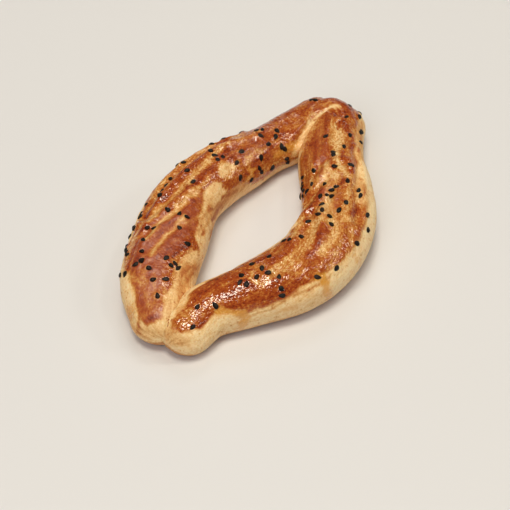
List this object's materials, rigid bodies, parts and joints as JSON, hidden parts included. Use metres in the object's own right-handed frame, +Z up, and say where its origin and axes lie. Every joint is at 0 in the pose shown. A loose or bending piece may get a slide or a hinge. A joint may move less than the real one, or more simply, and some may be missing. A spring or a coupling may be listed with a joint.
{
  "type": "savory horseshoe pastry",
  "caption": "Rolled rope of layered dough bent into a narrow closed horseshoe round an almond-shaped hole, with a glazed brown top strewn with nigella seeds and a flat underside.",
  "frame": {"origin": "middle of the bounding box in plan, on the surface that the pastry rests on", "axes": "+Y along the pastry from the joined noses to the bend, +X across it, +Z up"},
  "size_m": [0.0954, 0.1554, 0.0255],
  "materials": {
    "crust": "egg-washed crust, glossy red brown on top, matt cream at the sides",
    "seeds": "near-black nigella seeds with a faint sheen"
  },
  "bodies": {
    "root": {"horseshoe_pastry": "crust"}
  },
  "joints": []
}
